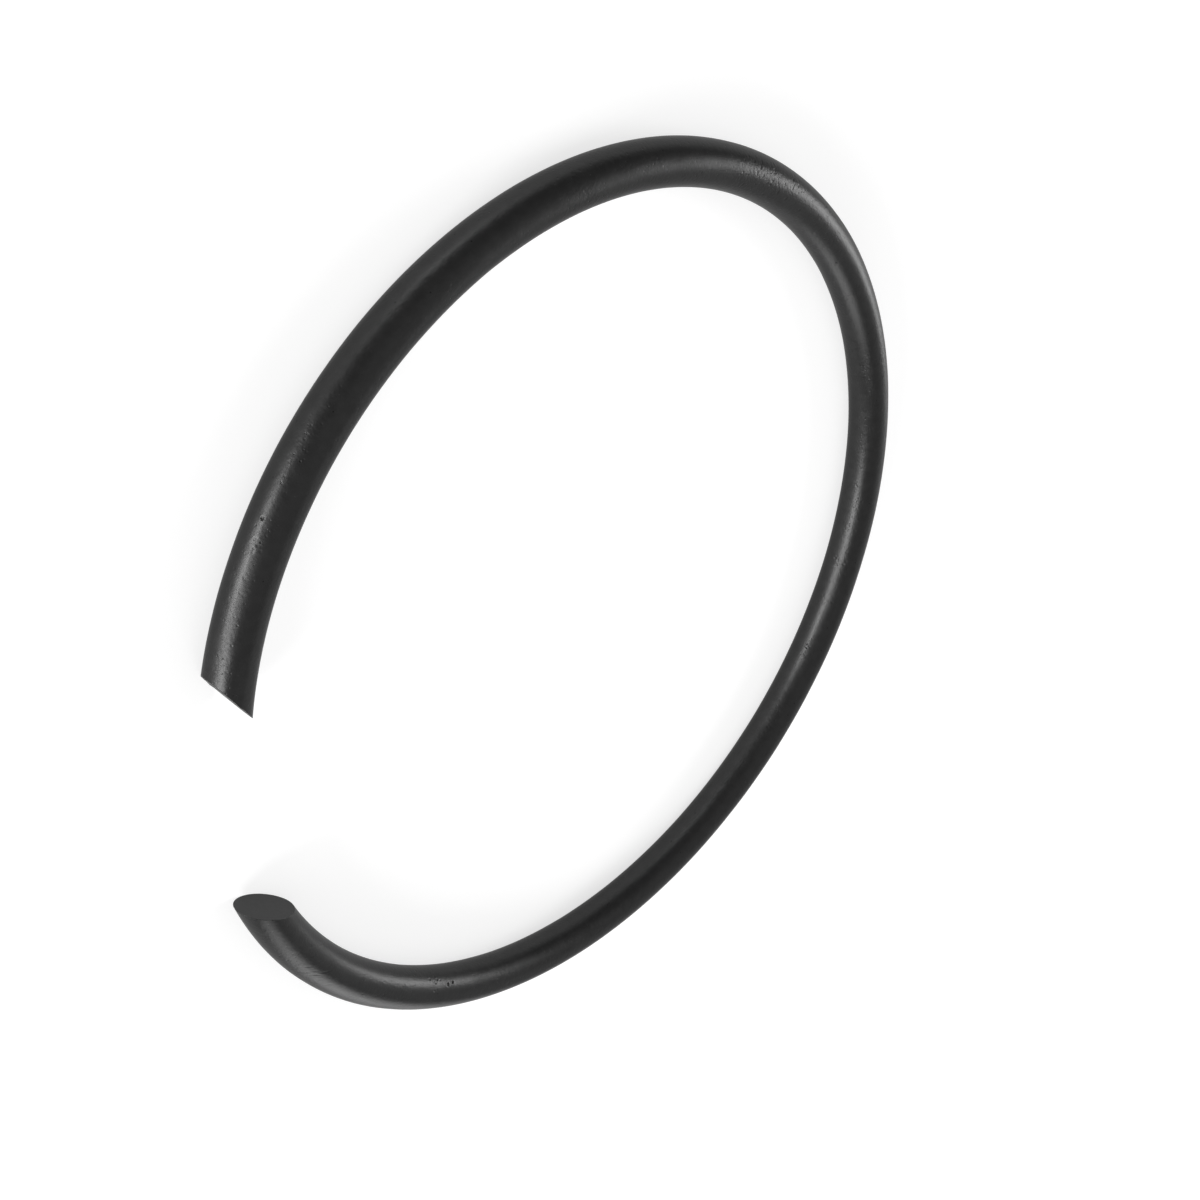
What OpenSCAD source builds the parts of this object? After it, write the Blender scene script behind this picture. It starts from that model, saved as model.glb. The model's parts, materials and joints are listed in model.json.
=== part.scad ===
// Round wire retaining ring, relaxed: one turn of hard spring wire, sheared at a slant at both ends.
// It lies in the XY plane, with its centre at the origin and the middle of its gap on +X.

/* [Wire] */
// Diameter of the round spring wire
wire_d = 1.5; // [0.8:0.1:3]

/* [Ring] */
// Inside diameter of the relaxed ring
inner_d = 28; // [18:0.5:60]
// Straight distance between the two ends, along the middle of the wire
gap = 8; // [3:0.5:14]

/* [Ends] */
// Slant of both sheared ends, turned clockwise from a cut square across the wire
cut_angle = 44; // [0:1:50]

/* [Hidden] */

wire_r = wire_d / 2;
mean_r = inner_d / 2 + wire_r;
outer_r = mean_r + wire_r;

// Half of the angle that the gap takes, between the middles of the two ends
end_angle = asin(gap / 2 / mean_r);

// How far each cut runs from the middle of the wire, so that it comes out past the wire's skin.
// Outwards it runs on until the straight edge between both cuts lies outside the ring.
cut_reach_in = 1.5 * wire_d;
cut_reach_out = outer_r;
cut_height = 2 * wire_d;

// Smoothness of the turn and of the wire's round section
turn_steps = 180;
section_steps = 64;

// Unit vector in the plane of the ring, at angle a
function direction(a) = [cos(a), sin(a)];

// Point on the straight cut across the end at angle a, this far out from the wire's middle
function on_cut(a, reach) = mean_r * direction(a) + reach * direction(a - cut_angle);

// One full turn of round wire
module wire_turn() {
    rotate_extrude($fn = turn_steps)
        translate([mean_r, 0])
            circle(d = wire_d, $fn = section_steps);
}

// What the shears take out of the turn. Its two slanted sides leave the flat end faces.
module end_gap() {
    linear_extrude(height = cut_height, center = true)
        polygon([
            on_cut(-end_angle, -cut_reach_in),
            on_cut(-end_angle, cut_reach_out),
            on_cut(end_angle, cut_reach_out),
            on_cut(end_angle, -cut_reach_in)
        ]);
}

// The ring, in one piece of blackened spring steel
module retaining_ring() {
    color([0.19, 0.19, 0.19])
        difference() {
            wire_turn();
            end_gap();
        }
}

retaining_ring();
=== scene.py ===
import json
import math
from collections import namedtuple

import bmesh
import bpy
import numpy as np
from mathutils import Matrix, Vector


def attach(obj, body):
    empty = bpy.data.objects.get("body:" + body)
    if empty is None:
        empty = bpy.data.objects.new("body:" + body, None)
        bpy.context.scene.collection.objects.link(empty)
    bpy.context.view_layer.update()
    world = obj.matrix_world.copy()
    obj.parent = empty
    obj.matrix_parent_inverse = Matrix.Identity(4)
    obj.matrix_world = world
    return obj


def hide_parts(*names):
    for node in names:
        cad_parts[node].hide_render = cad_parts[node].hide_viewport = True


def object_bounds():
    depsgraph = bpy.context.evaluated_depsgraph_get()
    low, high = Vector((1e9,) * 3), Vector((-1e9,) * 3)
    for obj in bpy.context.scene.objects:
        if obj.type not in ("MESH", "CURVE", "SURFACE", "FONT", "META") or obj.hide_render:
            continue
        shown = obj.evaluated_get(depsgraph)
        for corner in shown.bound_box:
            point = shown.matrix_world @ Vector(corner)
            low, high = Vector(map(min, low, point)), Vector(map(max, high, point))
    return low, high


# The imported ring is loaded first, because the defaults below come from it
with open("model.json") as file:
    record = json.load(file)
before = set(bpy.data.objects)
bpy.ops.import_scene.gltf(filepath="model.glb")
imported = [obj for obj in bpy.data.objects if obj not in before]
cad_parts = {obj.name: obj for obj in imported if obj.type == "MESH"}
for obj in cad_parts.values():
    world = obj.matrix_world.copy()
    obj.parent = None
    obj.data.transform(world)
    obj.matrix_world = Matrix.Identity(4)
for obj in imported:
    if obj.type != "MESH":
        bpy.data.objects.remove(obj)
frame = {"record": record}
CAD_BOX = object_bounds()

bl_info = {
    "name": "Round Wire Retaining Ring",
    "version": (1, 0, 0),
    "blender": (4, 5, 0),
    "location": "View3D > Sidebar > Retaining Ring",
    "description": "Builds an open spring ring of blackened round wire, and a small white studio for it",
    "category": "Add Mesh",
}

MM = 0.001
# The ring's node and body in the imported record, and the piece that is shown for it
NODE = "retaining_ring"
BODY = "root"
PIECE = "spring_wire_ring"
MOUNTS = {mount["name"]: mount for mount in frame["record"]["mounts"]}
SEAT = MOUNTS["groove_seat"]["dims"]


def linear(hex_colour):
    """A colour written as sRGB hex, such as "#3a3a3a", as linear red, green and blue."""
    channels = [int(hex_colour[i:i + 2], 16) / 255 for i in (1, 3, 5)]
    return [c / 12.92 if c <= 0.04045 else ((c + 0.055) / 1.055) ** 2.4 for c in channels]


class RingSizes(bpy.types.PropertyGroup):
    """The wire and the turn it is coiled to"""
    wire_diameter: bpy.props.FloatProperty(
        name="Wire diameter",
        description="Diameter of the round spring wire",
        default=SEAT["length_mm"] * MM,
        unit="LENGTH",
    )
    inner_diameter: bpy.props.FloatProperty(
        name="Inside diameter",
        description="Inside diameter of the relaxed ring",
        default=2 * SEAT["r_mm"] * MM,
        unit="LENGTH",
    )
    edge_break: bpy.props.FloatProperty(
        name="Edge break",
        description="How far the edge of a sheared end is worn back by tumbling",
        default=0.010 * MM,
        unit="LENGTH",
    )
    sides: bpy.props.IntProperty(
        name="Sides",
        description="Faces round the wire",
        default=72,
        min=12,
    )
    steps: bpy.props.IntProperty(
        name="Steps",
        description="Faces along the wire",
        default=840,
        min=60,
    )
    dents: bpy.props.IntProperty(
        name="Dents",
        description="Shallow dents that coiling and handling left in the skin",
        default=320,
        min=0,
    )
    seed: bpy.props.IntProperty(
        name="Seed",
        description="Picks where the dents fall",
        default=7,
    )


class RingFinish(bpy.types.PropertyGroup):
    """Colours and sheen of the blackened steel"""
    oxide: bpy.props.FloatVectorProperty(
        name="Black oxide",
        description="The blackened skin of the wire",
        subtype="COLOR",
        default=linear("#383838"),
        min=0,
        max=1,
    )
    oxide_thin: bpy.props.FloatVectorProperty(
        name="Thin oxide",
        description="The skin where the oxide is thinner and the steel shows through",
        subtype="COLOR",
        default=linear("#3b3b3b"),
        min=0,
        max=1,
    )
    pit: bpy.props.FloatVectorProperty(
        name="Pit",
        description="The floor of the tiny pits",
        subtype="COLOR",
        default=linear("#1c1c1c"),
        min=0,
        max=1,
    )
    sheared: bpy.props.FloatVectorProperty(
        name="Sheared face",
        description="The flat cut ends, blackened with the rest",
        subtype="COLOR",
        default=linear("#434343"),
        min=0,
        max=1,
    )
    sheared_thin: bpy.props.FloatVectorProperty(
        name="Sheared face, thin",
        description="The cut ends where their oxide is thinner",
        subtype="COLOR",
        default=linear("#464646"),
        min=0,
        max=1,
    )
    rim_sheen: bpy.props.FloatProperty(
        name="Rim sheen",
        description="How much of a clean metal's brightness the skin keeps at a glancing angle",
        default=0.7,
        min=0,
        max=1,
        subtype="FACTOR",
    )
    roughness: bpy.props.FloatProperty(
        name="Roughness",
        description="Roughness of the oiled oxide",
        default=0.40,
        min=0,
        max=1,
        subtype="FACTOR",
    )


class StageSettings(bpy.types.PropertyGroup):
    """Floor, lamps and camera"""
    floor_size: bpy.props.FloatProperty(
        name="Floor size",
        description="Side of the white table that the ring lies on",
        default=0.5,
        unit="LENGTH",
    )
    floor_white: bpy.props.FloatVectorProperty(
        name="Floor colour",
        description="The table's own white",
        subtype="COLOR",
        default=linear("#a8a8a8"),
        min=0,
        max=1,
    )
    lamp_distance: bpy.props.FloatProperty(
        name="Lamp distance",
        description="From the ring's centre to each softbox",
        default=0.30,
        unit="LENGTH",
    )
    view_azimuth: bpy.props.FloatProperty(
        name="Camera azimuth",
        description="Direction of the camera round the ring, from the front",
        default=math.radians(45.2),
        subtype="ANGLE",
    )
    view_elevation: bpy.props.FloatProperty(
        name="Camera elevation",
        description="Height of the camera above the ring's plane",
        default=math.radians(35.63),
        subtype="ANGLE",
    )
    view_roll: bpy.props.FloatProperty(
        name="Camera roll",
        description="Turn of the camera about its own line of sight",
        default=math.radians(119.47),
        subtype="ANGLE",
    )
    view_distance: bpy.props.FloatProperty(
        name="Camera distance",
        description="From the camera to the point it aims at",
        default=54.92 * MM,
        unit="LENGTH",
    )
    view_lens: bpy.props.FloatProperty(
        name="Lens",
        description="Focal length for a sensor 36 mm wide",
        default=48.98,
        subtype="DISTANCE_CAMERA",
    )


# Shape of the wire

class EndFace:
    """One flat sheared end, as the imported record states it."""

    def __init__(self, mount):
        self.centre = Vector(mount["pos_m"])
        self.normal = Vector(mount["axis"]).normalized()
        self.facing = math.atan2(self.normal.y, self.normal.x)
        self.offset = self.centre.dot(self.normal)
        centre_turn = math.atan2(self.centre.y, self.centre.x)
        spread = math.acos(self.offset / self.centre.length)
        self.side = min((1, -1), key=lambda side: abs(wrap(self.facing + side * spread - centre_turn)))

    def turn_at(self, radius):
        """Angle round the ring at which a circle of this radius meets the face."""
        return wrap(self.facing + self.side * np.arccos(self.offset / radius))


def wrap(angle):
    """The same angle, from minus half a turn to half a turn."""
    return (angle + math.pi) % math.tau - math.pi


def on_ring(mean_radius, turn, reach_out, reach_up):
    """Points beside the wire's middle line, each row x, y, z: this far outwards and upwards from it."""
    radius = mean_radius + reach_out
    return np.stack([radius * np.cos(turn), radius * np.sin(turn), reach_up + 0 * turn], axis=-1)


# Single pits: degrees round the ring, degrees round the wire, and in millimetres the size along the
# wire, the size round it and the depth. Both sizes are from the pit's middle outwards.
PITS = (
    (323.9, 25.4, 0.058, 0.058, 0.024),
    (339.4, 32.7, 0.028, 0.055, 0.010),
    (330.1, 33.0, 0.032, 0.040, 0.006),
    (242.4, 75.0, 0.036, 0.050, 0.008),
    (238.2, 81.5, 0.036, 0.130, 0.012),
    (234.4, 76.0, 0.040, 0.060, 0.009),
    (146.3, 164.8, 0.044, 0.055, 0.020),
    (145.7, 160.3, 0.044, 0.055, 0.018),
    (105.5, 184.5, 0.040, 0.045, 0.010),
    (129.9, 173.0, 0.040, 0.050, 0.008),
    (55.6, 126.1, 0.064, 0.080, 0.032),
    (56.6, 130.6, 0.058, 0.070, 0.030),
    (40.2, 118.0, 0.036, 0.040, 0.008),
)
# Rough patches of shallow marks: degrees round the ring, degrees round the wire, spread in millimetres,
# count, in millimetres the usual size along the wire, size round it and depth of one mark, and its lean,
# which is how far along the wire the mark goes for each millimetre round it
ROUGH_PATCHES = (
    (326.9, 22.0, 0.30, 16, 0.055, 0.065, 0.0040, 0.0),
    (329.6, 30.5, 0.30, 14, 0.055, 0.065, 0.0035, 0.0),
    (333.0, 38.5, 0.35, 10, 0.060, 0.075, 0.0022, 0.0),
    (337.6, 39.5, 0.35, 12, 0.060, 0.090, 0.0020, 0.0),
    (311.3, 20.8, 0.35, 8, 0.050, 0.065, 0.0040, 0.0),
    (244.5, 72.5, 0.24, 12, 0.062, 0.080, 0.0080, 0.0),
    (240.5, 76.0, 0.24, 12, 0.062, 0.080, 0.0080, 0.0),
    (235.5, 79.5, 0.26, 12, 0.060, 0.075, 0.0075, 0.0),
    (228.0, 82.0, 0.35, 10, 0.050, 0.060, 0.0070, 0.0),
    (219.5, 130.0, 0.30, 8, 0.050, 0.065, 0.0050, 0.0),
    (173.0, 161.0, 0.35, 12, 0.050, 0.060, 0.0060, 0.0),
    (167.0, 160.5, 0.35, 10, 0.055, 0.065, 0.0065, 0.0),
    (160.5, 161.5, 0.30, 14, 0.055, 0.065, 0.0075, 0.0),
    (154.0, 160.0, 0.30, 10, 0.055, 0.065, 0.0065, 0.0),
    (132.0, 168.0, 0.35, 12, 0.050, 0.060, 0.0055, 0.0),
    (108.0, 206.0, 0.45, 9, 0.050, 0.065, 0.0050, 0.0),
    (53.0, 129.5, 0.14, 10, 0.048, 0.056, 0.0120, 0.0),
    (28.1, 57.0, 0.48, 32, 0.065, 0.110, 0.0062, 1.3),
)
# Least and greatest length, width and depth of a mark in a patch, as shares of the usual one
MARK_LENGTHS = (0.8, 1.2)
MARK_WIDTHS = (0.6, 1.4)
MARK_DEPTHS = (0.5, 1.5)
# How far a pit reaches, in its own sizes, how steep its bowl is, and its lip as a share of its depth
PIT_REACH = 2.0
PIT_STEEPNESS = 2.0
PIT_LIP = 0.35
# Cuts across each edge of the faces near a pit
PIT_CUTS = 3
# Dents: least and greatest size in millimetres, how many times as long as wide, depth of the deepest for
# its size, the share of that depth that each one gets, and how far a dent reaches, in its own sizes
DENT_SIZES = (0.12, 0.40)
DENT_STRETCHES = (1.0, 2.4)
DENT_SLOPE = 0.016
DENT_SHARES = (0.2, 1.0)
DENT_REACH = 3
# Waver: how many waves, least and greatest length in millimetres, most lobes round the wire, and the
# height of a wave for its length
WAVES = 14
WAVELENGTHS = (1.2, 7.0)
MOST_LOBES = 2
WAVE_SLOPE = 0.0001
# Added to the seed, so that each kind of unevenness has draws of its own
WAVER_SEED = 1
PIT_SEED = 2
# How far from a sheared end the dents and waver, and the pits, reach their full depth
EVEN_AT_END = 2.5 * MM
SMOOTH_AT_END = 0.4 * MM
# Faces across the worn edge of a sheared end, and the round form of that edge
WORN_EDGE_FACES = 2
ROUND_PROFILE = 0.5
# Rings of faces in a sheared end, as shares of the wire's radius
CAP_RINGS = (0.88, 0.66, 0.44, 0.22)
# Places of the two materials in the mesh
SKIN = 0
SHEARED = 1

# A pit or mark, with lengths in metres and its bearing round the wire in radians
Pit = namedtuple("Pit", ("centre", "bearing", "size_along", "size_round", "depth", "lean"))


def pit_list(sizes, mean_radius, wire_radius):
    """All single pits, which don't lean, and all marks of the rough patches."""
    draw = np.random.default_rng(sizes.seed + PIT_SEED)
    pits = [pit + (0.0,) for pit in PITS]
    for turn, section, spread, count, size_along, size_round, depth, lean in ROUGH_PATCHES:
        for _ in range(count):
            off_along, off_round = draw.normal(0, spread, 2) * MM
            pits.append((
                turn + math.degrees(off_along / mean_radius),
                section + math.degrees(off_round / wire_radius),
                size_along * draw.uniform(*MARK_LENGTHS),
                size_round * draw.uniform(*MARK_WIDTHS),
                depth * draw.uniform(*MARK_DEPTHS),
                lean,
            ))
    return [
        Pit(
            math.radians(turn) * mean_radius,
            math.radians(section),
            size_along * MM,
            size_round * MM,
            depth * MM,
            lean,
        )
        for turn, section, size_along, size_round, depth, lean in pits
    ]


def pit_distance(along, around, wire_radius, pit):
    """How far each point is from the middle of a pit, as a share of the pit's size."""
    across = wire_radius * wrap(around - pit.bearing)
    return np.hypot((along - pit.centre - pit.lean * across) / pit.size_along, across / pit.size_round)


def pit_depths(along, around, wire_radius, pits):
    """How deep each point lies in a pit: a round bowl with a slight lip pushed up round it."""
    depth = np.zeros_like(along)
    for pit in pits:
        away = pit_distance(along, around, wire_radius, pit)
        near = away < PIT_REACH
        squared = away[near] ** 2
        bowl = np.exp(-PIT_STEEPNESS * squared)
        depth[near] += pit.depth * (bowl - PIT_LIP * squared * np.exp(-squared))
    return depth


def dent_depths(along, around, wire_radius, count, seed):
    """How deep each point lies in the shallow dents that coiling and handling left.

    along is the distance along the wire and around the angle about it."""
    draw = np.random.default_rng(seed)
    length = along.max()
    depth = np.zeros_like(along)
    for _ in range(count):
        centre = draw.uniform(0, length)
        bearing = draw.uniform(-math.pi, math.pi)
        size = draw.uniform(*DENT_SIZES) * MM
        stretch = draw.uniform(*DENT_STRETCHES)
        deepest = DENT_SLOPE * draw.uniform(*DENT_SHARES) * size
        near = np.abs(along - centre) < DENT_REACH * size * stretch
        across = wire_radius * wrap(around[near] - bearing)
        away = ((along[near] - centre) / stretch) ** 2 + across ** 2
        depth[near] += deepest * np.exp(-away / size ** 2)
    return depth


def coiling_waver(along, around, seed):
    """The slight unevenness of wire that was drawn and coiled, in metres."""
    draw = np.random.default_rng(seed)
    waver = np.zeros_like(along)
    for _ in range(WAVES):
        wavelength = draw.uniform(*WAVELENGTHS) * MM
        lobes = draw.integers(0, MOST_LOBES + 1)
        shift = draw.uniform(0, math.tau)
        lobe_shift = draw.uniform(0, math.tau)
        wave = np.sin(math.tau * along / wavelength + shift) * np.cos(lobes * around + lobe_shift)
        waver += WAVE_SLOPE * wavelength * wave
    return waver


def wire_mesh(sizes):
    """The wire as one closed mesh, with one material for its skin and one for both sheared faces."""
    wire_radius = sizes.wire_diameter / 2
    mean_radius = sizes.inner_diameter / 2 + wire_radius
    first, last = EndFace(MOUNTS["end_face_b"]), EndFace(MOUNTS["end_face_a"])
    around = np.arange(sizes.sides) * math.tau / sizes.sides
    out, up = wire_radius * np.cos(around), wire_radius * np.sin(around)
    start = first.turn_at(mean_radius + out)
    stop = last.turn_at(mean_radius + out) + math.tau
    share = np.linspace(0, 1, sizes.steps + 1)[:, None]
    skin = on_ring(mean_radius, start + (stop - start) * share, out, up)

    bm = bmesh.new()
    rows = [[bm.verts.new(point) for point in row] for row in skin]
    for row, following in zip(rows, rows[1:]):
        for i in range(sizes.sides):
            j = (i + 1) % sizes.sides
            bm.faces.new((row[i], row[j], following[j], following[i]))
    rims = []
    for face, rim, outward in ((first, rows[0], False), (last, rows[-1], True)):
        add_cap(bm, face, rim, mean_radius, out, up, outward)
        rims += [bm.edges.get((rim[i], rim[i - 1])) for i in range(sizes.sides)]
    worn = bmesh.ops.bevel(
        bm, geom=rims, offset=sizes.edge_break, offset_type="OFFSET", segments=WORN_EDGE_FACES,
        profile=ROUND_PROFILE, affect="EDGES", clamp_overlap=True, material=SKIN,
    )["faces"]
    # The worn edge is shaded by itself, so that it doesn't darken the skin beside it
    for edge in {edge for face in worn for edge in face.edges}:
        edge.smooth = all(face in worn for face in edge.link_faces)
    pits = pit_list(sizes, mean_radius, wire_radius)
    refine_near_pits(bm, pits, mean_radius, wire_radius)
    carve_skin(bm, sizes, pits, mean_radius, wire_radius, start.mean(), stop.mean())
    for face in bm.faces:
        face.smooth = face.material_index == SKIN
    bmesh.ops.recalc_face_normals(bm, faces=bm.faces)
    mesh = bpy.data.meshes.new(PIECE)
    bm.to_mesh(mesh)
    bm.free()
    return mesh


def wire_place(points, mean_radius):
    """Distance along the wire and the angle round it for each row x, y, z of points."""
    turn = np.arctan2(points[:, 1], points[:, 0]) % math.tau
    out = np.hypot(points[:, 0], points[:, 1]) - mean_radius
    return turn * mean_radius, np.arctan2(points[:, 2], out)


def refine_near_pits(bm, pits, mean_radius, wire_radius):
    """Cuts the faces near each pit into smaller ones, so that the pit has a round form."""
    skin = [face for face in bm.faces if face.material_index == SKIN]
    along, around = wire_place(np.array([face.calc_center_median() for face in skin]), mean_radius)
    chosen = np.zeros(len(skin), dtype=bool)
    for pit in pits:
        chosen |= pit_distance(along, around, wire_radius, pit) < PIT_REACH
    touched = {edge for i in np.flatnonzero(chosen) for edge in skin[i].edges}
    edges = [edge for edge in bm.edges if edge in touched]
    bmesh.ops.subdivide_edges(bm, edges=edges, cuts=PIT_CUTS, use_grid_fill=True)


def carve_skin(bm, sizes, pits, mean_radius, wire_radius, start, stop):
    """Moves the skin in or out along its own normal, for its dents, waver and pits, but not at its ends."""
    points = np.array([vertex.co for vertex in bm.verts])
    along, around = wire_place(points, mean_radius)
    to_end = np.minimum(along - start * mean_radius, stop * mean_radius - along)
    to_cut = to_end - np.abs(np.cos(around)) * wire_radius
    depth = dent_depths(along, around, wire_radius, sizes.dents, sizes.seed)
    depth += coiling_waver(along, around, sizes.seed + WAVER_SEED)
    depth *= np.clip(to_cut / EVEN_AT_END, 0, 1)
    depth += pit_depths(along, around, wire_radius, pits) * np.clip(to_cut / SMOOTH_AT_END, 0, 1)
    out = (wire_radius - depth) * np.cos(around)
    up = (wire_radius - depth) * np.sin(around)
    moved = on_ring(mean_radius, along / mean_radius, out, up)
    for vertex, point, clear in zip(bm.verts, moved, to_cut > 0):
        if clear:
            vertex.co = point


def add_cap(bm, face, rim, mean_radius, out, up, outward):
    """Closes one end of the skin with rings of faces that lie in the sheared plane."""
    sides = len(rim)
    inner = rim
    made = []
    for share in CAP_RINGS:
        turn = face.turn_at(mean_radius + out * share)
        ring = [bm.verts.new(point) for point in on_ring(mean_radius, turn, out * share, up * share)]
        for i in range(sides):
            j = (i + 1) % sides
            made.append(bm.faces.new((inner[i], inner[j], ring[j], ring[i])))
        inner = ring
    middle = bm.verts.new(face.centre)
    for i in range(sides):
        made.append(bm.faces.new((inner[i], inner[(i + 1) % sides], middle)))
    for cap_face in made:
        cap_face.material_index = SHEARED
        if outward:
            cap_face.normal_flip()


# Materials

def add_node(tree, kind, inputs=None, **settings):
    """Adds a node with these settings.

    inputs gives its sockets, by name or place, a value or the output of another node."""
    node = tree.nodes.new(kind)
    for name, value in settings.items():
        setattr(node, name, value)
    for name, value in (inputs or {}).items():
        if isinstance(value, bpy.types.NodeSocket):
            tree.links.new(value, node.inputs[name])
        else:
            node.inputs[name].default_value = value
    return node


def new_material(name):
    """An empty node material and its tree."""
    material = bpy.data.materials.new(name)
    material.use_nodes = True
    material.node_tree.nodes.clear()
    return material, material.node_tree


# How far the coiling tool's marks go round the wire for each millimetre along it
TOOL_SLANT = 0.8
# Widths of the skin's patterns, in millimetres
PATCH_WIDTH = 1.3
BLOTCH_WIDTH = 0.3
GRAIN_WIDTH = 0.11
TOOL_MARK_WIDTH = 0.085
# How many times as long as wide a tool mark is
TOOL_MARK_STRETCH = 3
# Relief of the blackened skin, from the lowest to the highest point, in millimetres
GRAIN_DEPTH = 0.0055
TOOL_MARK_DEPTH = 0.0012
SPECKLE_DEPTH = 0.0040
SMALL_PIT_DEPTH = 0.0055
# The relief in the faintest and in the strongest patches, as shares of the usual one
PATCH_RELIEF = (0.6, 1.4)
# Values of a cloudy pattern below and above which it counts as all one thing or all the other
CLOUD_SPAN = (0.35, 0.65)
# How much rougher the skin is under thin oxide, and smoother under thick
ROUGHNESS_CHANGE = 0.015
# Small round pits: spacing, share of the places that hold one, least and greatest radius, in millimetres
SPECKLES = (0.20, 0.40, 0.025, 0.055)
SMALL_PITS = (0.80, 0.35, 0.022, 0.045)
# Places of the colour sockets of a Mix node
MIX_A, MIX_B, MIXED = 6, 7, 2


def straightened(tree, sizes):
    """Coordinates in millimetres as if the wire were straight: plain ones, wound ones and unrolled ones.

    All have the distance along the wire first. The plain ones then give the place in the round section,
    for grain that knows no seam. The wound ones turn it as the wire goes on, so that marks along them wind
    round the wire at a slant. The unrolled ones give the distance round the wire, from its top, and their
    jump lies underneath, on the table."""
    wire_radius = sizes.wire_diameter / 2 / MM
    mean_radius = sizes.inner_diameter / 2 / MM + wire_radius
    place = add_node(tree, "ShaderNodeTexCoord").outputs["Object"]
    in_mm = add_node(
        tree, "ShaderNodeVectorMath", {0: place, "Scale": 1 / MM}, operation="SCALE",
    ).outputs[0]
    parts = add_node(tree, "ShaderNodeSeparateXYZ", {0: in_mm}).outputs
    # The angle is counted from the side opposite the gap, so that its jump falls in the gap
    back_x = add_node(tree, "ShaderNodeMath", {0: parts["X"], 1: -1.0}, operation="MULTIPLY").outputs[0]
    back_y = add_node(tree, "ShaderNodeMath", {0: parts["Y"], 1: -1.0}, operation="MULTIPLY").outputs[0]
    turn = add_node(tree, "ShaderNodeMath", {0: back_y, 1: back_x}, operation="ARCTAN2").outputs[0]
    along = add_node(tree, "ShaderNodeMath", {0: turn, 1: mean_radius}, operation="MULTIPLY").outputs[0]
    flat = add_node(tree, "ShaderNodeCombineXYZ", {"X": parts["X"], "Y": parts["Y"]}).outputs[0]
    radius = add_node(tree, "ShaderNodeVectorMath", {0: flat}, operation="LENGTH").outputs["Value"]
    out = add_node(tree, "ShaderNodeMath", {0: radius, 1: mean_radius}, operation="SUBTRACT").outputs[0]
    straight = add_node(tree, "ShaderNodeCombineXYZ", {"X": along, "Y": out, "Z": parts["Z"]}).outputs[0]
    slant = add_node(
        tree, "ShaderNodeMath", {0: along, 1: TOOL_SLANT / wire_radius}, operation="MULTIPLY",
    ).outputs[0]
    wound = add_node(
        tree, "ShaderNodeVectorRotate", {"Vector": straight, "Angle": slant}, rotation_type="X_AXIS",
    ).outputs[0]
    section = add_node(tree, "ShaderNodeMath", {0: out, 1: parts["Z"]}, operation="ARCTAN2").outputs[0]
    around = add_node(tree, "ShaderNodeMath", {0: section, 1: wire_radius}, operation="MULTIPLY").outputs[0]
    unrolled = add_node(tree, "ShaderNodeCombineXYZ", {"X": along, "Y": around}).outputs[0]
    return straight, wound, unrolled


def small_pits(tree, unrolled, spacing, share, least, most):
    """1 in small round pits and 0 outside, with one pit in a share of the cells and none in the rest."""
    cells = add_node(
        tree, "ShaderNodeTexVoronoi", {"Vector": unrolled, "Scale": 1 / spacing}, voronoi_dimensions="2D",
    ).outputs
    draws = add_node(tree, "ShaderNodeSeparateColor", {0: cells["Color"]}).outputs
    there = add_node(tree, "ShaderNodeMath", {0: draws[0], 1: share}, operation="LESS_THAN").outputs[0]
    radius = add_node(
        tree, "ShaderNodeMapRange",
        {"Value": draws[1], "To Min": least / spacing, "To Max": most / spacing},
    ).outputs[0]
    bowl = add_node(
        tree, "ShaderNodeMapRange",
        {"Value": cells["Distance"], "From Min": 0.0, "From Max": radius, "To Min": 1.0, "To Max": 0.0},
        interpolation_type="SMOOTHSTEP",
    ).outputs[0]
    return add_node(tree, "ShaderNodeMath", {0: there, 1: bowl}, operation="MULTIPLY").outputs[0]


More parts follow.
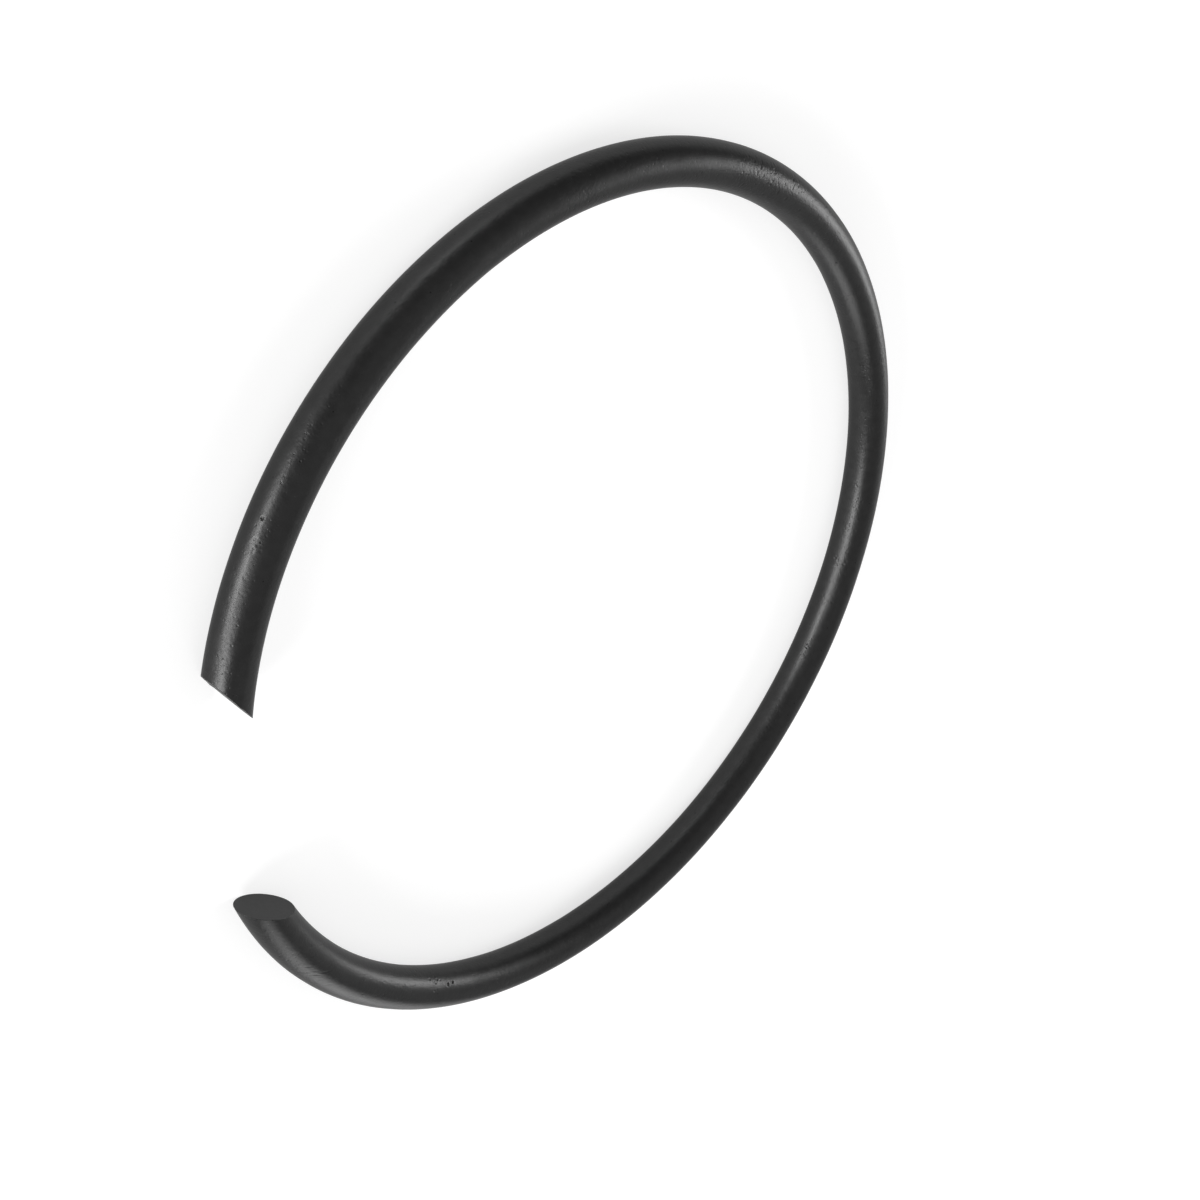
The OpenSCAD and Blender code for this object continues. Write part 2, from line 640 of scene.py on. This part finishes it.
def oil_blackened_spring_steel(sizes, finish):
    """Hard-drawn carbon spring steel wire, tempered and blackened in hot salts, then oiled.

    The thin oxide turns the metal's own sheen dark grey and satin, so highlights stay soft and neutral.
    Its fine grain mottles them, more in some patches than in others, with slanting marks of the
    coiling tool and small pits. Away from the highlights the skin looks smooth and even."""
    material, tree = new_material("Oil_blackened_spring_steel")
    straight, wound, unrolled = straightened(tree, sizes)

    # Patches over a millimetre across, where the relief stands out more
    low, high = CLOUD_SPAN
    faintest, strongest = PATCH_RELIEF
    cloud = add_node(
        tree, "ShaderNodeTexNoise", {"Vector": straight, "Scale": 1 / PATCH_WIDTH, "Detail": 1.0},
    ).outputs[0]
    patches = add_node(
        tree, "ShaderNodeMapRange",
        {"Value": cloud, "From Min": low, "From Max": high, "To Min": faintest, "To Max": strongest},
    ).outputs[0]
    grain = add_node(
        tree, "ShaderNodeTexNoise",
        {"Vector": straight, "Scale": 1 / GRAIN_WIDTH, "Detail": 1.0, "Roughness": 0.5},
    ).outputs[0]
    lengthwise = add_node(
        tree, "ShaderNodeMapping", {"Vector": wound, "Scale": (1 / TOOL_MARK_STRETCH, 1, 1)},
    ).outputs[0]
    marks = add_node(
        tree, "ShaderNodeTexNoise", {"Vector": lengthwise, "Scale": 1 / TOOL_MARK_WIDTH, "Detail": 1.0},
    ).outputs[0]
    speckles = small_pits(tree, unrolled, *SPECKLES)
    pits = small_pits(tree, unrolled, *SMALL_PITS)

    # The oxide is thinner in blotches, and thick in the pits
    blotches = add_node(
        tree, "ShaderNodeTexNoise", {"Vector": straight, "Scale": 1 / BLOTCH_WIDTH, "Detail": 2.0},
    ).outputs[0]
    thin = add_node(
        tree, "ShaderNodeMapRange", {"Value": blotches, "From Min": low, "From Max": high},
    ).outputs[0]
    skin = add_node(
        tree, "ShaderNodeMix",
        {"Factor": thin, MIX_A: (*finish.oxide, 1), MIX_B: (*finish.oxide_thin, 1)}, data_type="RGBA",
    ).outputs[MIXED]
    colour = add_node(
        tree, "ShaderNodeMix", {"Factor": pits, MIX_A: skin, MIX_B: (*finish.pit, 1)}, data_type="RGBA",
    ).outputs[MIXED]
    rough = add_node(
        tree, "ShaderNodeMapRange",
        {
            "Value": thin,
            "To Min": finish.roughness - ROUGHNESS_CHANGE,
            "To Max": finish.roughness + ROUGHNESS_CHANGE,
        },
    ).outputs[0]

    relief = None
    for form, depth in (
        (grain, GRAIN_DEPTH),
        (marks, TOOL_MARK_DEPTH),
        (speckles, -SPECKLE_DEPTH),
        (pits, -SMALL_PIT_DEPTH),
    ):
        height = add_node(tree, "ShaderNodeMath", {0: form, 1: patches}, operation="MULTIPLY").outputs[0]
        bump = add_node(
            tree, "ShaderNodeBump", {"Height": height, "Distance": abs(depth) * MM}, invert=depth < 0,
        )
        if relief:
            tree.links.new(relief, bump.inputs["Normal"])
        relief = bump.outputs[0]

    shader = add_node(
        tree, "ShaderNodeBsdfPrincipled",
        {
            "Base Color": colour,
            "Roughness": rough,
            "Normal": relief,
            "Metallic": 1.0,
            "Specular Tint": (finish.rim_sheen,) * 3 + (1,),
        },
    )
    add_node(tree, "ShaderNodeOutputMaterial", {"Surface": shader.outputs[0]})
    return material


# The blade's tracks up the sheared face: how far apart, how many times as long, and how deep in millimetres
BLADE_TRACK_WIDTH = 0.05
BLADE_TRACK_STRETCH = 18
BLADE_TRACK_DEPTH = 0.0010
# Grain of the torn metal, in millimetres, and the values between which its oxide thins
TORN_GRAIN_WIDTH = 0.12
TORN_SPAN = (0.3, 0.7)
# How much duller the sheared face is than the drawn skin, at least and at most
SHEAR_DULLNESS = (0.04, 0.12)


def sheared_spring_steel(finish):
    """The flat ends, sheared off by a slanting blade and blackened afterwards.

    The cut is a little duller and more even than the drawn skin, with faint tracks of the blade."""
    material, tree = new_material("Sheared_and_blackened_spring_steel")
    place = add_node(tree, "ShaderNodeTexCoord").outputs["Object"]
    in_mm = add_node(
        tree, "ShaderNodeVectorMath", {0: place, "Scale": 1 / MM}, operation="SCALE",
    ).outputs[0]
    upwards = add_node(
        tree, "ShaderNodeMapping", {"Vector": in_mm, "Scale": (1, 1, 1 / BLADE_TRACK_STRETCH)},
    ).outputs[0]
    tracks = add_node(
        tree, "ShaderNodeTexNoise", {"Vector": upwards, "Scale": 1 / BLADE_TRACK_WIDTH, "Detail": 1.0},
    ).outputs[0]
    grain = add_node(
        tree, "ShaderNodeTexNoise", {"Vector": in_mm, "Scale": 1 / TORN_GRAIN_WIDTH, "Detail": 2.0},
    ).outputs[0]
    low, high = TORN_SPAN
    thin = add_node(
        tree, "ShaderNodeMapRange", {"Value": grain, "From Min": low, "From Max": high},
    ).outputs[0]
    colour = add_node(
        tree, "ShaderNodeMix",
        {"Factor": thin, MIX_A: (*finish.sheared, 1), MIX_B: (*finish.sheared_thin, 1)}, data_type="RGBA",
    ).outputs[MIXED]
    least, most = SHEAR_DULLNESS
    rough = add_node(
        tree, "ShaderNodeMapRange",
        {"Value": thin, "To Min": finish.roughness + least, "To Max": finish.roughness + most},
    ).outputs[0]
    relief = add_node(
        tree, "ShaderNodeBump", {"Height": tracks, "Distance": BLADE_TRACK_DEPTH * MM},
    ).outputs[0]
    shader = add_node(
        tree, "ShaderNodeBsdfPrincipled",
        {
            "Base Color": colour,
            "Roughness": rough,
            "Normal": relief,
            "Metallic": 1.0,
            "Specular Tint": (finish.rim_sheen,) * 3 + (1,),
        },
    )
    add_node(tree, "ShaderNodeOutputMaterial", {"Surface": shader.outputs[0]})
    return material


# Brightness that the table is lifted by where it is seen, which its lit white brings up to full white
FLOOR_LIFT = 0.71
# Clouds in the table's own white, how far apart in metres and how dark
FLOOR_CLOUD_WIDTH = 2.5
FLOOR_CLOUD_SHADE = 0.98


def white_table_laminate(stage):
    """Matt white table laminate under the ring.

    It is lifted to full white where the camera or a reflection sees it, and still takes a soft shadow."""
    material, tree = new_material("White_table_laminate")
    place = add_node(tree, "ShaderNodeTexCoord").outputs["Object"]
    cloud = add_node(
        tree, "ShaderNodeTexNoise", {"Vector": place, "Scale": 1 / FLOOR_CLOUD_WIDTH, "Detail": 1.0},
    ).outputs[0]
    shade = (*(FLOOR_CLOUD_SHADE * tone for tone in stage.floor_white), 1)
    white = add_node(
        tree, "ShaderNodeMix", {"Factor": cloud, MIX_A: shade, MIX_B: (*stage.floor_white, 1)},
        data_type="RGBA",
    ).outputs[MIXED]
    matt = add_node(tree, "ShaderNodeBsdfDiffuse", {"Color": white}).outputs[0]
    # Rays from the camera, and those that reach it by a reflection or through glass
    path = add_node(tree, "ShaderNodeLightPath").outputs
    mirrored = add_node(
        tree, "ShaderNodeMath", {0: path["Is Camera Ray"], 1: path["Is Glossy Ray"]}, operation="MAXIMUM",
    ).outputs[0]
    seen = add_node(
        tree, "ShaderNodeMath", {0: mirrored, 1: path["Is Transmission Ray"]}, operation="MAXIMUM",
    ).outputs[0]
    lift = add_node(tree, "ShaderNodeMath", {0: seen, 1: FLOOR_LIFT}, operation="MULTIPLY").outputs[0]
    glow = add_node(tree, "ShaderNodeEmission", {"Strength": lift}).outputs[0]
    total = add_node(tree, "ShaderNodeAddShader", {0: matt, 1: glow}).outputs[0]
    add_node(tree, "ShaderNodeOutputMaterial", {"Surface": total})
    return material


# Stage

# Each softbox: name, direction round the ring from +X, rise above the table, how wide and how tall it is,
# and the brightness of its face. Angles are in degrees as seen from the ring, and a brightness of 1 is
# the white of the table.
SOFTBOXES = (
    ("right_low", -18.5, 4.5, 25, 9, 27),
    ("right_high", 12, 18, 23, 18, 17),
    ("left", 169, 23, 21, 18, 12.5),
    ("back", 85, 15.5, 24, 31, 5),
    ("front", -87, 3, 26, 6, 6),
    ("fill", 132, 23, 36, 46, 0.6),
)
# Brightness of the studio at each height, given by its sine: white cove, dark walls, grey ceiling
STUDIO_TONES = (
    (0.00, 1.00),
    (0.085, 1.00),
    (0.13, 0.05),
    (0.24, 0.05),
    (0.33, 0.17),
    (0.48, 0.38),
    (0.70, 0.28),
    (0.85, 0.50),
    (0.97, 0.62),
)
# Width of the camera's sensor in millimetres, the span in metres that the camera sees, and the point in
# millimetres that it aims at, which is a little off the ring's centre
SENSOR_WIDTH = 36
CLIP_SPAN = (1 * MM, 10)
CAMERA_AIM = (-0.13, -0.057, 0)


def add_softbox(name, azimuth, elevation, wide, tall, brightness, distance):
    """A rectangular lamp that faces the ring and fills the given angles."""
    lamp = bpy.data.lights.new("softbox_" + name, "AREA")
    lamp.shape = "RECTANGLE"
    lamp.size = 2 * distance * math.tan(math.radians(wide) / 2)
    lamp.size_y = 2 * distance * math.tan(math.radians(tall) / 2)
    lamp.energy = brightness * math.pi * lamp.size * lamp.size_y
    softbox = bpy.data.objects.new(lamp.name, lamp)
    turn, rise = math.radians(azimuth), math.radians(elevation)
    direction = Vector((math.cos(turn) * math.cos(rise), math.sin(turn) * math.cos(rise), math.sin(rise)))
    softbox.location = direction * distance
    softbox.rotation_euler = direction.to_track_quat("Z", "Y").to_euler()
    softbox.visible_camera = False
    bpy.context.scene.collection.objects.link(softbox)


def add_camera(stage):
    """The camera, in an orbit round the middle of the ring, rolled about its own line of sight."""
    data = bpy.data.cameras.new("camera")
    data.sensor_width = SENSOR_WIDTH
    data.lens = stage.view_lens
    data.clip_start, data.clip_end = CLIP_SPAN
    turned = (
        Matrix.Rotation(stage.view_azimuth, 4, "Z")
        @ Matrix.Rotation(math.radians(90) - stage.view_elevation, 4, "X")
        @ Matrix.Rotation(stage.view_roll, 4, "Z")
    )
    camera = bpy.data.objects.new("camera", data)
    aim = Vector(CAMERA_AIM) * MM
    camera.matrix_world = Matrix.Translation(aim) @ turned @ Matrix.Translation((0, 0, stage.view_distance))
    bpy.context.scene.collection.objects.link(camera)
    bpy.context.scene.camera = camera


def set_world():
    """The light of a small studio: a white cove round the table, dark walls and a grey ceiling."""
    world = bpy.data.worlds.new("studio_walls")
    world.use_nodes = True
    tree = world.node_tree
    tree.nodes.clear()
    direction = add_node(tree, "ShaderNodeTexCoord").outputs["Generated"]
    height = add_node(tree, "ShaderNodeSeparateXYZ", {0: direction}).outputs["Z"]
    ramp = add_node(tree, "ShaderNodeValToRGB", {"Fac": height})
    stops = ramp.color_ramp.elements
    while len(stops) < len(STUDIO_TONES):
        stops.new(1.0)
    for stop, (sine, tone) in zip(stops, STUDIO_TONES):
        stop.position = sine
        stop.color = (tone, tone, tone, 1)
    glow = add_node(tree, "ShaderNodeBackground", {"Color": ramp.outputs[0]}).outputs[0]
    add_node(tree, "ShaderNodeOutputWorld", {"Surface": glow})
    bpy.context.scene.world = world


# Operators

class RING_OT_wire(bpy.types.Operator):
    """Builds the spring wire ring with its slanted, sheared ends, in place of the plain model"""
    bl_idname = "ring.build_wire"
    bl_label = "Build Spring Wire Ring"

    def execute(self, context):
        sizes, finish = context.scene.ring_sizes, context.scene.ring_finish
        mesh = wire_mesh(sizes)
        mesh.materials.append(oil_blackened_spring_steel(sizes, finish))
        mesh.materials.append(sheared_spring_steel(finish))
        ring = bpy.data.objects.new(PIECE, mesh)
        context.scene.collection.objects.link(ring)
        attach(ring, BODY)
        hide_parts(NODE)
        return {"FINISHED"}


class RING_OT_stage(bpy.types.Operator):
    """Builds the white table, the softboxes, the studio walls and the camera"""
    bl_idname = "ring.build_stage"
    bl_label = "Build Stage"

    def execute(self, context):
        stage = context.scene.ring_stage
        half = stage.floor_size / 2
        low = CAD_BOX[0].z
        mesh = bpy.data.meshes.new("table")
        corners = [(-half, -half, low), (half, -half, low), (half, half, low), (-half, half, low)]
        mesh.from_pydata(corners, [], [(0, 1, 2, 3)])
        mesh.materials.append(white_table_laminate(stage))
        table = bpy.data.objects.new("table", mesh)
        context.scene.collection.objects.link(table)
        for softbox in SOFTBOXES:
            add_softbox(*softbox, stage.lamp_distance)
        set_world()
        add_camera(stage)
        context.scene.view_settings.view_transform = "Standard"
        return {"FINISHED"}


class RING_PT_panel(bpy.types.Panel):
    """Sizes, finish and stage of the retaining ring"""
    bl_idname = "RING_PT_panel"
    bl_label = "Retaining Ring"
    bl_space_type = "VIEW_3D"
    bl_region_type = "UI"
    bl_category = "Retaining Ring"

    def draw(self, context):
        scene = context.scene
        for settings, operator in (
            (scene.ring_sizes, RING_OT_wire),
            (scene.ring_finish, None),
            (scene.ring_stage, RING_OT_stage),
        ):
            box = self.layout.box()
            for name in settings.bl_rna.properties.keys():
                if name not in ("rna_type", "name"):
                    box.prop(settings, name)
            if operator:
                box.operator(operator.bl_idname)


CLASSES = (RingSizes, RingFinish, StageSettings, RING_OT_wire, RING_OT_stage, RING_PT_panel)


def register():
    for cls in CLASSES:
        bpy.utils.register_class(cls)
    bpy.types.Scene.ring_sizes = bpy.props.PointerProperty(type=RingSizes)
    bpy.types.Scene.ring_finish = bpy.props.PointerProperty(type=RingFinish)
    bpy.types.Scene.ring_stage = bpy.props.PointerProperty(type=StageSettings)


def unregister():
    del bpy.types.Scene.ring_stage
    del bpy.types.Scene.ring_finish
    del bpy.types.Scene.ring_sizes
    for cls in reversed(CLASSES):
        bpy.utils.unregister_class(cls)


def main():
    register()
    bpy.ops.ring.build_wire()
    bpy.ops.ring.build_stage()


if __name__ == "__main__":
    main()
